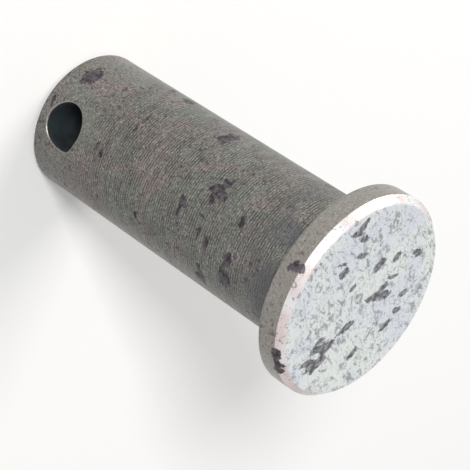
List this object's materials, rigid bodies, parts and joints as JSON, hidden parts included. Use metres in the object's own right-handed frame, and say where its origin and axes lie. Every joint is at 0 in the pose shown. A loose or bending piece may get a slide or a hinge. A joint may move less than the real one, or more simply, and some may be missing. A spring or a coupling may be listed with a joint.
{
  "type": "clevis pin",
  "caption": "Headed clevis pin of bare turned steel, with a thin bevelled flat head and a cross hole for a split pin near the tail; it pins a clevis to a rod or lever.",
  "frame": {"origin": "centre of the tail face, on which the pin stands", "axes": "+Z along the shank from the tail face to the head; +Y along the cross hole"},
  "size_m": [0.014, 0.014, 0.0267],
  "materials": {
    "bare_steel": "bare steel, finely turned round the shank, with small dark patches of scale; the head's face is paler and ground flat"
  },
  "bodies": {
    "root": {"clevis_pin": "bare_steel"}
  },
  "joints": []
}
